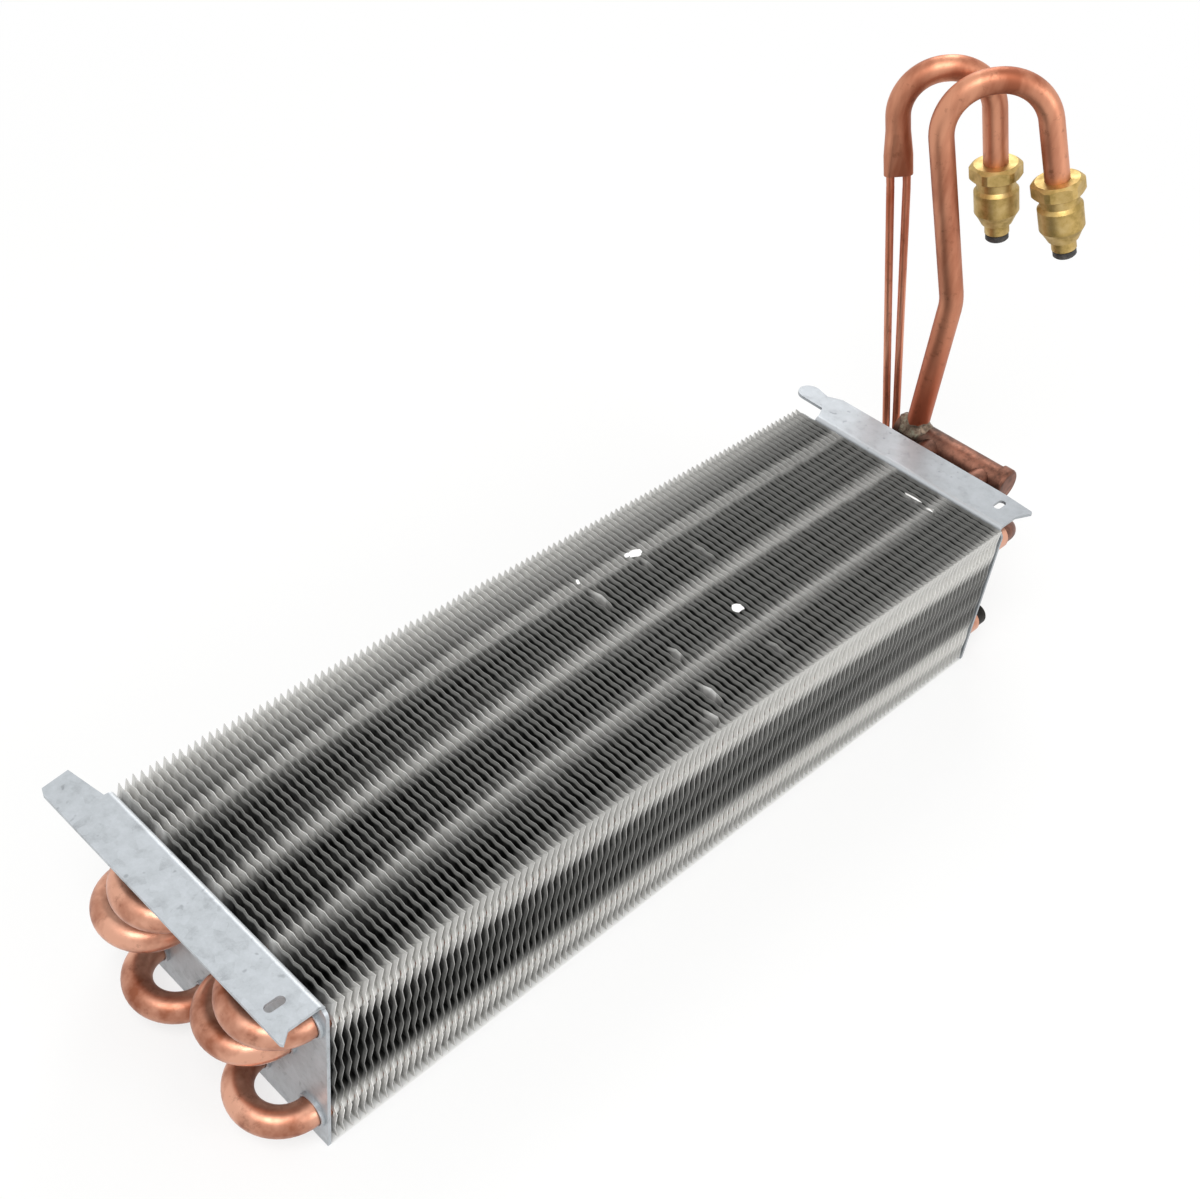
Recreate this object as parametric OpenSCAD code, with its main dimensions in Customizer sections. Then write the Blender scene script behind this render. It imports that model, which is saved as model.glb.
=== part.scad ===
// Evaporator core: a finned coil of copper hairpins between two folded end
// plates, with a suction header, a capillary distributor and two brass fittings.
// The origin is under the middle of the coil, level with the feet of the plates.
// X runs along the tubes, from the hairpin bends (-X) to the header (+X).

/* [Fin pack] */
// Length of the finned stretch between the end plates
fin_length = 320; // [240:1:400]
// Number of fins
fin_count = 120; // [90:1:130]
// Thickness of a fin
fin_gauge = 0.25; // [0.15:0.01:0.35]
// Height of the ridges pressed into a fin between the rows of tubes
wave_height = 1.4; // [0.6:0.1:1.8]

/* [Coil] */
// Distance between tubes in one row
tube_pitch = 25.4; // [23:0.1:30]
// Distance between rows of tubes
row_pitch = 22; // [20:0.1:28]
// Outer diameter of the coil tubes
tube_od = 9.52; // [8:0.01:10]
// Wall of the copper tubes
tube_wall = 0.6; // [0.4:0.05:0.8]
// Straight stretch of a hairpin between the front plate and its bend
bend_standoff = 1.4; // [1.3:0.1:8]
// Depth of the belled socket at each tube end
socket_depth = 7; // [5:0.1:10]

/* [End plates] */
// Thickness of the plates
plate_gauge = 1.2; // [0.8:0.1:1.6]
// Gap between a plate and the nearest end of the fin pack
plate_gap = 1.2; // [0.6:0.1:3]
// Width of the front plate's flange
front_flange = 16.3; // [14:0.1:24]
// Width of the rear plate's flange
rear_flange = 19.5; // [18:0.1:26]
// Outer radius of the fold between web and flange
fold_radius = 2.2; // [1.8:0.1:3]
// Drop of the plates' feet below the fins
foot_drop = 1; // [0.5:0.1:3]
// Rise of the flanges above the fins
flange_rise = 0.5; // [0.2:0.1:2]
// Length of a mounting slot
slot_length = 6.5; // [5:0.1:8]
// Width of a mounting slot
slot_width = 3; // [2:0.1:4]
// Reach of the ears past the coil's far side
ear_reach = 12; // [6:0.1:20]

/* [Header] */
// Outer diameter of the suction header
header_od = 12.7; // [12:0.1:14]
// Length of header left past the near outlet stub
header_near_end = 4.8; // [4.4:0.1:10]
// Length of header left past the suction tube, at its far end
header_far_end = 2.6; // [2.4:0.1:8]
// Distance from the rear plate to the header's axis
header_reach = 39; // [34:0.1:48]
// Distance along the header from the far outlet stub to the suction tube
suction_offset = 10.9; // [9.8:0.1:18]

/* [Suction tube] */
// Length of the upright part above the header
suction_rise = 57.5; // [40:0.5:80]
// Length of the leaning part between the kink and the gooseneck
suction_leg = 68; // [50:0.5:84]
// Lean of the upper part from the vertical, in degrees
suction_lean = 17; // [8:0.5:24]
// Bend radius of the gooseneck
suction_bend = 19.2; // [17:0.1:24]
// How much further its end leans than its leg, in degrees
suction_flare = 4; // [1:0.5:8]
// Length of tube between the gooseneck and its fitting
suction_drop = 23.5; // [14:0.1:30]

/* [Distributor tube] */
// Distance of its plane behind the suction tube's plane
distributor_offset = 14; // [13:0.1:20]
// Lean of the distributor tube from the vertical, in degrees
distributor_lean = 13; // [8:0.5:18]
// Bend radius of the gooseneck
distributor_bend = 17.2; // [15:0.1:20]
// How much further its end leans than its leg, in degrees
distributor_flare = 2.5; // [1:0.5:8]
// Length of tube between the gooseneck and its fitting
distributor_drop = 22; // [14:0.1:30]
// Height of the gooseneck's centre above the feet
distributor_height = 189; // [170:0.5:210]
// Length of the straight crimped end, down from the gooseneck
crimp_leg = 23; // [20:0.1:28]
// Outer diameter of the capillary tubes
capillary_od = 3.2; // [2.4:0.1:3.6]
// Bore of the capillary tubes
capillary_bore = 1.6; // [1:0.1:1.8]

/* [Fittings] */
// Hexagon of the fitting's collar, across its flats
collar_flats = 18.6; // [17:0.1:21]
// Diameter of the fitting's round body
body_od = 17.2; // [16:0.1:18]
// Diameter of the fitting's nose
nose_od = 9.5; // [8:0.1:11]

/* [Hidden] */

$fn = 48;
eps = 0.01;

copper = "#c07a55";
brass = "#b99a4b";
steel = "#c3c8cd";
aluminium = "#b9b9b4";
dark = "#33302e";

// Clearances: slip fits stay open by slip, pressed and brazed fits by seat
seat = 0.04;
slip = 0.2;

// How far a leg laps an oblique bend, and how much slimmer that bend is
leg_lap = 0.4;
bend_slim = 0.03;

// The coil's grid: four tubes in each of three rows, every other row shifted
tubes = 4;
rows = 3;
coil_width = tubes * tube_pitch;
coil_height = rows * row_pitch;
fins_low = foot_drop;
fins_high = foot_drop + coil_height;
function tube_y(row, i) = coil_width / 2 - (i + (row == 1 ? 0.25 : 0.75)) * tube_pitch;
function tube_z(row) = fins_low + (row + 0.5) * row_pitch;
function tube_at(row, i) = [0, tube_y(row, i), tube_z(row)];

tube_r = tube_od / 2;
bore_r = tube_r - tube_wall;
bell_r = tube_r + seat;
bend_r = tube_pitch / 2;

// Reach of the drawn collars out of the plates' webs
collar_reach = 1.2;

// Planes across the coil, from front to rear
web_in = fin_length / 2 + plate_gap;
web_out = web_in + plate_gauge;
front_bend_x = -web_out - bend_standoff;
bell_foot = web_out + collar_reach + seat;
bell_taper = 1;
socket_mouth = bell_foot + socket_depth;
insert_x = bell_foot + bell_taper;

// Rear header
header_r = header_od / 2;
header_x = web_out + header_reach;
header_z = tube_z(2);
header_wall = 0.9;
suction_y = tube_y(2, 1) + suction_offset;
header_low_y = tube_y(2, 2) - tube_r - header_near_end;
header_high_y = suction_y + tube_r + header_far_end;
header_length = header_high_y - header_low_y;
cap_wall = 0.8;
cap_depth = 4;
disc_wall = 2;

// Upright plane of the goosenecks, turned about the suction tube's foot
neck_turn = -50.6;
function on_neck(s, z, behind = 0) = [
    header_x + s * cos(neck_turn) - behind * sin(neck_turn),
    suction_y + s * sin(neck_turn) + behind * cos(neck_turn),
    z];

// Places in that plane are [along it, 0, up]; a lean tips a tube towards -X of the plane
function along(p, lean, t) = p + t * [-sin(lean), 0, cos(lean)];
function across(p, lean, t) = p + t * [cos(lean), 0, sin(lean)];

// Corners of a gooseneck that starts at p: a square bend, a short crown, a bend that
// falls short of square by the flare, and then its end, drop after that bend
crown = 1;
function flared(bend, flare) = bend * tan(45 - flare / 2);
function neck_first(p, lean, bend) = along(p, lean, bend);
function neck_second(p, lean, bend, flare) =
    across(neck_first(p, lean, bend), lean, bend + crown + flared(bend, flare));
function neck_end(p, lean, bend, flare, drop) =
    along(neck_second(p, lean, bend, flare), lean + flare, -flared(bend, flare) - drop);

// Suction tube
kink_bend = 25;
kink_z = header_z + header_r + suction_rise;
suction_up = along([0, 0, kink_z], suction_lean, suction_leg);
suction_end = neck_end(suction_up, suction_lean, suction_bend, suction_flare, suction_drop);

// Distributor tube, in its own frame: Z up its crimped leg, from the crimped end
distributor_centre = [-18.5, 0, distributor_height];
distributor_up = across(distributor_centre, distributor_lean, -distributor_bend);
distributor_end = neck_end(distributor_up, distributor_lean, distributor_bend,
    distributor_flare, distributor_drop);
crimp_end = along(distributor_up, distributor_lean, -crimp_leg);
crimp_grip = 8;
crimp_round = 18;
crimp_gap = 3.1;
crimp_thick = capillary_od + 2 * tube_wall + 0.6;
crimp_wide = 2 * crimp_gap + crimp_thick;

// Fitting, as lengths down from the face of its collar
collar_h = 6.2;
groove_end = 11;
body_end = 19.6;
shoulder_end = 24.6;
nose_end = 29.2;
plug_end = 32;
fitting_socket = 9;
groove_od = 15;
plug_od = nose_od - 0.5;
plug_stem = 4.4;

// Inlet stubs
inlet_length = 14;
pinch_length = 5;

function unit(v) = v / norm(v);
function turn_between(a, b) = acos(max(-1, min(1, a * b)));

// Straight rod of radius r from a to b
module rod(a, b, r) {
    v = b - a;
    translate(a)
        rotate([0, acos(v[2] / norm(v)), atan2(v[1], v[0])])
            cylinder(r = r, h = norm(v));
}

// Wall of a tube, cut across
module ring(r, bore) {
    difference() {
        circle(r = r);
        circle(r = bore);
    }
}

// Tube along a route with its corners rounded to bends. Each leg and elbow is
// placed from the end of the one before. Square bends meet their legs flush. The
// others are slimmer by a hair, and the legs reach a little way over them
module bent_tube(route, bends, r, bore) {
    last = len(route) - 1;
    way = [for (i = [0 : last - 1]) unit(route[i + 1] - route[i])];
    turns = [for (i = [1 : last - 1]) turn_between(way[i - 1], way[i])];
    trims = concat(0, [for (i = [0 : last - 2]) bends[i] * tan(turns[i] / 2)], 0);
    slims = [for (t = turns) abs(t - 90) < eps ? 0 : bend_slim];
    laps = concat(0, [for (s = slims) s > 0 ? leg_lap : 0], 0);
    // Direction from the inside to the outside of each bend, at its start and at its end
    outer = [for (i = [1 : last - 1]) unit(way[i - 1] * (way[i] * way[i - 1]) - way[i])];
    outer_end = [for (i = [0 : last - 2]) outer[i] * cos(turns[i]) + way[i] * sin(turns[i])];

    // Leg i and all after it, in a frame whose Z runs along the leg
    module from_leg(i) {
        length = norm(route[i + 1] - route[i]) - trims[i] - trims[i + 1];
        step = length > eps ? length : 0;
        if (step > 0)
            translate([0, 0, -laps[i]])
                linear_extrude(height = step + laps[i] + laps[i + 1])
                    ring(r, bore);
        if (i < last - 1) {
            roll = i == 0 ? 0
                : atan2(cross(outer_end[i - 1], outer[i]) * way[i], outer_end[i - 1] * outer[i]);
            translate([0, 0, step])
                rotate([0, 0, roll])
                    translate([-bends[i], 0, 0]) {
                        rotate([90, 0, 0])
                            rotate_extrude(angle = turns[i])
                                translate([bends[i], 0])
                                    ring(r - slims[i], bore + slims[i]);
                        rotate([0, -turns[i], 0])
                            translate([bends[i], 0, 0])
                                from_leg(i + 1);
                    }
        }
    }

    x = outer[0];
    y = cross(way[0], x);
    z = way[0];
    multmatrix([for (k = [0 : 2]) [x[k], y[k], z[k], route[0][k]]])
        from_leg(0);
}

// One fin: flat lands round the tubes, ridges between the rows
module fin() {
    crest = wave_height / 2;
    land = tube_od + 1.4;
    rise = (row_pitch - land) / 2;
    line = concat([[crest, fins_low]],
        [for (row = [0 : rows - 1],
            p = [[-crest, rise], [-crest, rise + land], [crest, row_pitch]])
            p + [0, fins_low + row * row_pitch]]);
    half = [fin_gauge / 2, 0];
    last = len(line) - 1;
    difference() {
        rotate([90, 0, 0])
            linear_extrude(height = coil_width, center = true)
                polygon(concat(
                    [for (p = line) p - half],
                    [for (i = [last : -1 : 0]) line[i] + half]));
        for (row = [0 : rows - 1], i = [0 : tubes - 1])
            translate(tube_at(row, i) - [wave_height, 0, 0])
                rotate([0, 90, 0])
                    cylinder(r = tube_r + seat, h = wave_height);
    }
}

module fin_pack() {
    pitch = (fin_length - wave_height - fin_gauge) / (fin_count - 1);
    color(aluminium)
        for (i = [0 : fin_count - 1])
            translate([(i - (fin_count - 1) / 2) * pitch, 0, 0])
                fin();
}

// Web and flange of an end plate that faces +X, before its holes are made
// flange_outline lists places as [distance out from the web's fin side, y]
module plate_sheet(flange_width, web_low_y, web_high_y, fold_low_y, fold_high_y, outline) {
    top = fins_high + flange_rise;
    corner = 3;
    fold_in = fold_radius - plate_gauge;
    translate([web_in, 0, 0]) {
        // Web, with its two upper corners rounded
        rotate([90, 0, 90])
            linear_extrude(height = plate_gauge) {
                translate([web_low_y, 0])
                    square([web_high_y - web_low_y, top - fold_radius - corner]);
                translate([web_low_y + corner, 0])
                    square([web_high_y - web_low_y - 2 * corner, top - fold_radius]);
                for (y = [web_low_y + corner, web_high_y - corner])
                    translate([y, top - fold_radius - corner])
                        circle(r = corner);
            }
        // Fold
        translate([fold_radius, fold_high_y, top - fold_radius])
            rotate([90, 0, 0])
                linear_extrude(height = fold_high_y - fold_low_y)
                    intersection() {
                        difference() {
                            circle(r = fold_radius);
                            circle(r = fold_in);
                        }
                        translate([-fold_radius, 0])
                            square(fold_radius);
                    }
        // Flange
        translate([0, 0, top - plate_gauge])
            linear_extrude(height = plate_gauge)
                polygon(outline);
    }
}

// Tube holes with their drawn collars, for a plate that faces +X
module plate_collars() {
    for (row = [0 : rows - 1], i = [0 : tubes - 1])
        translate(tube_at(row, i) + [web_out - plate_gauge / 2, 0, 0])
            rotate([0, 90, 0])
                cylinder(r = tube_r + slip + 0.7, h = plate_gauge / 2 + collar_reach);
}

module plate_holes() {
    for (row = [0 : rows - 1], i = [0 : tubes - 1])
        translate(tube_at(row, i) + [web_in - 1, 0, 0])
            rotate([0, 90, 0])
                cylinder(r = tube_r + slip, h = plate_gauge + 4);
}

// Slot along X, cut through a flange
module slot_hole(x) {
    half = (slot_length - slot_width) / 2;
    translate([x, slot_y, fins_high + flange_rise - plate_gauge - 1])
        linear_extrude(height = plate_gauge + 2) {
            square([2 * half, slot_width], center = true);
            for (s = [-half, half])
                translate([s, 0])
                    circle(d = slot_width);
        }
}

web_edge = coil_width / 2 + 0.2;
slot_y = -coil_width / 2 + 10;
slot_out = 10;
slot_x = web_in + slot_out;

module end_plate_front() {
    far = coil_width / 2;
    fold_low_y = -far + 1.5;
    fold_high_y = far - 1.5;
    outline = [
        [fold_radius, fold_low_y], [front_flange - 4.2, fold_low_y],
        [front_flange - 0.6, -far - 1.4], [front_flange, -far - 0.6],
        [front_flange, far + ear_reach - 2.5], [front_flange - 1, far + ear_reach],
        [front_flange - 10.5, far + ear_reach + 1.5], [front_flange - 12.3, far + 2.5],
        [front_flange - 13, fold_high_y], [fold_radius, fold_high_y]];
    color(steel)
        mirror([1, 0, 0])
            difference() {
                union() {
                    plate_sheet(front_flange, -web_edge, web_edge, fold_low_y, fold_high_y, outline);
                    plate_collars();
                }
                plate_holes();
                slot_hole(slot_x);
            }
}

module end_plate_rear() {
    far = coil_width / 2;
    fold_low_y = -far + 1.5;
    fold_high_y = far - 9;
    ear_r = 5;
    ear_x = rear_flange - 6.5;
    outline = [
        [fold_radius, fold_low_y], [rear_flange - 9, fold_low_y],
        [rear_flange - 2, -far - 1.4], [rear_flange - 1, -far - 0.6],
        [rear_flange, -far + 12], [rear_flange, far - 8],
        [ear_x + 3.4, far - 2.5], [ear_x + ear_r, far + 4],
        [ear_x - ear_r, far + 4], [ear_x - 5.2, far - 6.5], [fold_radius, fold_high_y]];
    color(steel)
        difference() {
            union() {
                plate_sheet(rear_flange, -web_edge, web_edge, fold_low_y, fold_high_y, outline);
                translate([web_in + ear_x, far + 4, fins_high + flange_rise - plate_gauge])
                    cylinder(r = ear_r, h = plate_gauge);
                plate_collars();
            }
            plate_holes();
            slot_hole(slot_x + 2);
        }
}

// Hairpin: two coil tubes and the bend that joins them in front of the plate,
// with a belled socket at each rear end
module hairpin(row, i) {
    far = tube_at(row, i);
    near = tube_at(row, i + 1);
    out = [front_bend_x - bend_r, 0, 0];
    color(copper) {
        bent_tube([far + [bell_foot, 0, 0], far + out, near + out, near + [bell_foot, 0, 0]],
            [bend_r, bend_r], tube_r, bore_r);
        for (p = [far, near])
            translate(p + [bell_foot, 0, 0])
                rotate([0, 90, 0])
                    difference() {
                        union() {
                            cylinder(r1 = tube_r, r2 = bell_r + tube_wall, h = bell_taper);
                            translate([0, 0, bell_taper])
                                cylinder(r = bell_r + tube_wall, h = socket_depth - bell_taper);
                        }
                        translate([0, 0, -eps])
                            cylinder(r = bore_r, h = 2 * bell_taper);
                        translate([0, 0, bell_taper])
                            cylinder(r = bell_r, h = socket_depth);
                    }
    }
}

// Return bend between two sockets at the rear
module return_bend(a, b) {
    start = [insert_x + seat, 0, 0];
    bend = norm(b - a) / 2;
    out = [socket_mouth + bend + 0.6, 0, 0];
    color(copper)
        bent_tube([a + start, a + out, b + out, b + start], [bend, bend], tube_r, bore_r);
}

// Outlet stub from a top-row socket into the header
module outlet_stub(i) {
    p = tube_at(2, i);
    color(copper)
        difference() {
            rod(p + [insert_x + seat, 0, 0], p + [header_x - header_r + 2.5, 0, 0], tube_r);
            rod(p + [insert_x - 1, 0, 0], p + [header_x, 0, 0], bore_r);
        }
}

module suction_header() {
    color(copper)
        difference() {
            translate([header_x, header_high_y, header_z])
                rotate([90, 0, 0])
                    cylinder(r = header_r, h = header_length);
            translate([header_x, header_high_y + 1, header_z])
                rotate([90, 0, 0])
                    cylinder(r = header_r - header_wall, h = header_length + 2);
            for (i = [1, 2])
                translate(tube_at(2, i) + [header_x - header_r - 1, 0, 0])
                    rotate([0, 90, 0])
                        cylinder(r = tube_r + seat, h = header_r);
            translate([header_x, suction_y, header_z])
                cylinder(r = tube_r + seat, h = header_od);
        }
}

// Cup over the header's near end
module header_cap_near() {
    outer = header_r + seat + cap_wall;
    length = cap_depth + cap_wall;
    round_r = 1.4;
    color(copper)
        translate([header_x, header_low_y + cap_depth, header_z])
            rotate([90, 0, 0])
                rotate_extrude()
                    difference() {
                        union() {
                            square([outer - round_r, length]);
                            square([outer, length - round_r]);
                            translate([outer - round_r, length - round_r])
                                circle(r = round_r);
                        }
                        translate([-1, -1])
                            square([header_r + seat + 1, cap_depth + 1]);
                        translate([-outer, -1])
                            square([outer, length + 2]);
                    }
}

// Dished disc inside the header's far end, beside the suction tube
module header_cap_far() {
    color(copper)
        translate([header_x, header_high_y, header_z])
            rotate([90, 0, 0])
                rotate_extrude()
                    difference() {
                        square([header_r - header_wall - seat, disc_wall]);
                        translate([-1, -1])
                            square([header_r - header_wall - seat, 1.7]);
                    }
}

// Solder fillet round the foot of the suction tube, seated on the header
module suction_solder() {
    fillet = 2.4;
    color("#8f8a7c")
        difference() {
            translate([header_x, suction_y, header_z])
                rotate_extrude()
                    difference() {
                        translate([tube_r + seat, 0])
                            square([fillet, header_r + fillet]);
                        translate([tube_r + seat + fillet, header_r + fillet])
                            circle(r = fillet - 0.3);
                    }
            translate([header_x, suction_y + header_od, header_z])
                rotate([90, 0, 0])
                    cylinder(r = header_r + seat, h = 2 * header_od);
        }
}

// Puts its children in the goosenecks' plane: X along it, Z up
module in_neck(behind) {
    translate([header_x, suction_y, 0])
        rotate([0, 0, neck_turn])
            translate([0, behind, 0])
                children();
}

module suction_tube() {
    color(copper)
        in_neck(0)
            bent_tube([
                [0, 0, header_z + header_r - 2.5],
                [0, 0, kink_z],
                neck_first(suction_up, suction_lean, suction_bend),
                neck_second(suction_up, suction_lean, suction_bend, suction_flare),
                along(suction_end, suction_lean + suction_flare, 1 - fitting_socket)],
                [kink_bend, suction_bend, suction_bend], tube_r, bore_r);
}

// Puts its children at the crimped end: Z up the tube, X along the plane
module in_crimp() {
    in_neck(distributor_offset)
        translate(crimp_end)
            rotate([0, -distributor_lean, 0])
                children();
}

// Distributor tube: round in its gooseneck, crimped flat round the capillaries
module distributor_tube() {
    springing = [0, 0, crimp_leg];
    bend = distributor_bend;
    color(copper)
        in_crimp() {
            bent_tube([
                [0, 0, crimp_round],
                neck_first(springing, 0, bend),
                neck_second(springing, 0, bend, distributor_flare),
                neck_end(springing, 0, bend, distributor_flare, distributor_drop + fitting_socket - 1)],
                [bend, bend], tube_r, bore_r);
            crimp();
        }
}

// Flattened end that closes on the two capillaries
module crimp() {
    facets = 32;
    module flattened(wide, thick, h) {
        for (s = [-1, 1])
            translate([s * (wide - thick) / 2, 0, 0])
                cylinder(d = thick, h = h, $fn = facets);
    }
    difference() {
        hull() {
            flattened(crimp_wide, crimp_thick, crimp_grip);
            translate([0, 0, crimp_round - eps])
                cylinder(r = tube_r, h = eps, $fn = facets);
        }
        hull() {
            translate([0, 0, crimp_grip])
                flattened(crimp_wide - 2 * tube_wall, crimp_thick - 2 * tube_wall, eps);
            translate([0, 0, crimp_round])
                cylinder(r = bore_r, h = 1, $fn = facets);
        }
        for (s = [-1, 1])
            translate([s * crimp_gap, 0, -1])
                cylinder(d = capillary_od + 2 * seat, h = crimp_grip + 2);
    }
}

// Place inside the crimp on the axis of one capillary, t up from its mouth
function crimp_place(side, t) =
    let (p = along(across(crimp_end, distributor_lean, side * crimp_gap), distributor_lean, t))
        on_neck(p[0], p[2], distributor_offset);

// Radius of a capillary's gentle bends
sweep_r = 100;

// Low corner of the near capillary, and where it ends in the side of its stub
near_corner = [header_x - 5, tube_y(0, 3) + 36, 17];
near_entry = tube_at(0, 3) + [web_out + 9.4, 1.5, 0];

// Capillary to the near circuit: down past the header, then across behind the
// coil and into the side of the pinched inlet stub
module capillary_near() {
    color(copper)
        bent_tube([
            crimp_place(1, crimp_grip + 1),
            crimp_place(1, -4),
            on_neck(-1.5, 26, distributor_offset),
            near_corner,
            near_entry],
            [sweep_r, 10, 16], capillary_od / 2, capillary_bore / 2);
}

// Capillary to the far circuit: down and straight into the end of its stub
module capillary_far() {
    stub = tube_at(0, 0);
    color(copper)
        bent_tube([
            crimp_place(-1, crimp_grip + 1),
            crimp_place(-1, -4),
            on_neck(-9.9, 49, distributor_offset),
            stub + [header_x + 7.5, 0, 0],
            stub + [web_out + 6, 0, 0]],
            [sweep_r, sweep_r / 2, 12], capillary_od / 2, capillary_bore / 2);
}

// Inlet stub: from its socket to an end closed round the capillary
module inlet_stub(i) {
    p = tube_at(0, i);
    end = web_out + inlet_length;
    difference() {
        rod(p + [insert_x + seat, 0, 0], p + [end, 0, 0], tube_r);
        rod(p + [insert_x - 1, 0, 0], p + [end - pinch_length, 0, 0], bore_r);
        children();
    }
}

module inlet_stub_near() {
    color(dark)
        inlet_stub(3)
            rod(near_entry, near_corner, capillary_od / 2 + seat);
}

module inlet_stub_far() {
    stub = tube_at(0, 0);
    color(copper)
        inlet_stub(0)
            rod(stub + [web_out, 0, 0], stub + [header_x, 0, 0], capillary_od / 2 + seat);
}

// Puts its children at a fitting's collar face: Z runs down the fitting
module at_fitting(end, lean, behind) {
    in_neck(behind)
        translate(end)
            rotate([0, 180 - lean, 0])
                children();
}

// Brass fitting: hexagon collar, groove, round body, shoulder and hollow nose
module fitting() {
    chamfer = 1.2;
    corner_r = collar_flats / sqrt(3);
    color(brass)
        difference() {
            union() {
                intersection() {
                    cylinder(r = corner_r, h = collar_h, $fn = 6);
                    rotate_extrude()
                        polygon([[0, 0], [corner_r - 2 * chamfer, 0], [corner_r - 0.6, chamfer],
                            [corner_r - 0.6, collar_h - chamfer],
                            [corner_r - 2 * chamfer, collar_h], [0, collar_h]]);
                }
                rotate_extrude()
                    polygon([[0, 1], [groove_od / 2, 1], [groove_od / 2, groove_end - 1.4],
                        [body_od / 2, groove_end], [body_od / 2, body_end],
                        [body_od / 2 - 1.2, body_end + 2], [nose_od / 2 + 1.2, shoulder_end],
                        [nose_od / 2, shoulder_end], [nose_od / 2, nose_end - 0.4],
                        [nose_od / 2 - 0.4, nose_end], [0, nose_end]]);
            }
            translate([0, 0, -1])
                cylinder(r = tube_r + seat, h = fitting_socket + 1);
            cylinder(r = bore_r - 0.8, h = nose_end + 1);
            translate([0, 0, nose_end - plug_stem])
                cylinder(r = nose_od / 2 - 1.2, h = plug_stem + 1);
        }
}

// Soft plug that closes the nose
module fitting_plug() {
    color(dark)
        rotate_extrude()
            polygon([[0, nose_end - plug_stem + 0.5], [nose_od / 2 - 1.2 - seat, nose_end - plug_stem + 0.5],
                [nose_od / 2 - 1.2 - seat, nose_end + seat], [plug_od / 2, nose_end + seat],
                [plug_od / 2, plug_end - 0.6], [plug_od / 2 - 0.6, plug_end], [0, plug_end]]);
}

module suction_fitting() {
    at_fitting(suction_end, suction_lean + suction_flare, 0) fitting();
}

module suction_fitting_plug() {
    at_fitting(suction_end, suction_lean + suction_flare, 0) fitting_plug();
}

module distributor_fitting() {
    at_fitting(distributor_end, distributor_lean + distributor_flare, distributor_offset) fitting();
}

module distributor_fitting_plug() {
    at_fitting(distributor_end, distributor_lean + distributor_flare, distributor_offset) fitting_plug();
}

fin_pack();
end_plate_front();
end_plate_rear();
hairpin(2, 2);  // hairpin_top_near
hairpin(2, 0);  // hairpin_top_far
hairpin(1, 2);  // hairpin_middle_near
hairpin(1, 0);  // hairpin_middle_far
hairpin(0, 2);  // hairpin_bottom_near
hairpin(0, 0);  // hairpin_bottom_far
return_bend(tube_at(2, 3), tube_at(1, 3));  // return_bend_near_upper
return_bend(tube_at(0, 2), tube_at(1, 2));  // return_bend_near_lower
return_bend(tube_at(2, 0), tube_at(1, 0));  // return_bend_far_upper
return_bend(tube_at(0, 1), tube_at(1, 1));  // return_bend_far_lower
outlet_stub(2);  // outlet_stub_near
outlet_stub(1);  // outlet_stub_far
suction_header();
header_cap_near();
header_cap_far();
suction_solder();
suction_tube();
distributor_tube();
capillary_near();
capillary_far();
inlet_stub_near();
inlet_stub_far();
suction_fitting();
suction_fitting_plug();
distributor_fitting();
distributor_fitting_plug();
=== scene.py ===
import math
import random
from functools import partial

import bmesh
import bpy
from mathutils import Matrix, Vector


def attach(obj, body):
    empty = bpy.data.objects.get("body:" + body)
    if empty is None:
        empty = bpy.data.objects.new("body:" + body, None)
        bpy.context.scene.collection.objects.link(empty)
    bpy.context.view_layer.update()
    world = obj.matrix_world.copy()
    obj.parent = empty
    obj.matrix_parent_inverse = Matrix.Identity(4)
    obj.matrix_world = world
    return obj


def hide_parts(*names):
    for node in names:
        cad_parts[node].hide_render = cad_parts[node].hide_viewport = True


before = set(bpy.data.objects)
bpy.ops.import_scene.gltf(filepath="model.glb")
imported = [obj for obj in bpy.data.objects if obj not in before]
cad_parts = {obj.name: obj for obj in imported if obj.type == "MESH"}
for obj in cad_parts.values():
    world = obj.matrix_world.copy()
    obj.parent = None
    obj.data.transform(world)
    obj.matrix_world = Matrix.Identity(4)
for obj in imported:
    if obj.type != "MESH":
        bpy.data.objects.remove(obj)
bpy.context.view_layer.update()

mm = 0.001               # Blender's unit here is the metre
print("frame loaded:", len(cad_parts), "CAD nodes")


def hexColour(code):
    # sRGB hex to the linear colour that a shader socket takes
    parts = [int(code[i:i + 2], 16) / 255 for i in (1, 3, 5)]
    return [p / 12.92 if p <= 0.04045 else ((p + 0.055) / 1.055) ** 2.4 for p in parts] + [1.0]


def addNode(tree, kind, inputs=None, **settings):
    # inputs go by name or number, each a plain value or the socket that it follows
    node = tree.nodes.new(kind)
    for name, value in settings.items():
        setattr(node, name, value)
    for key, value in (inputs or {}).items():
        if isinstance(value, bpy.types.NodeSocket):
            tree.links.new(value, node.inputs[key])
        else:
            node.inputs[key].default_value = value
    return node


def calc(tree, operation, a, b=0.0, c=0.0, clamp=False):
    return addNode(tree, "ShaderNodeMath", {0: a, 1: b, 2: c},
                   operation=operation, use_clamp=clamp).outputs[0]


def remap(tree, value, low, high, toLow=0.0, toHigh=1.0, **settings):
    inputs = {"Value": value, "From Min": low, "From Max": high, "To Min": toLow, "To Max": toHigh}
    return addNode(tree, "ShaderNodeMapRange", inputs, **settings).outputs[0]


def axesOf(tree, vector):
    return addNode(tree, "ShaderNodeSeparateXYZ", {0: vector}).outputs


def vectorOf(tree, **parts):
    return addNode(tree, "ShaderNodeCombineXYZ", parts).outputs[0]


def newObject(name, data, material=None):
    made = bpy.data.objects.new(name, data)
    bpy.context.scene.collection.objects.link(made)
    if material is not None:
        data.materials.append(material)
    return made


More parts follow.
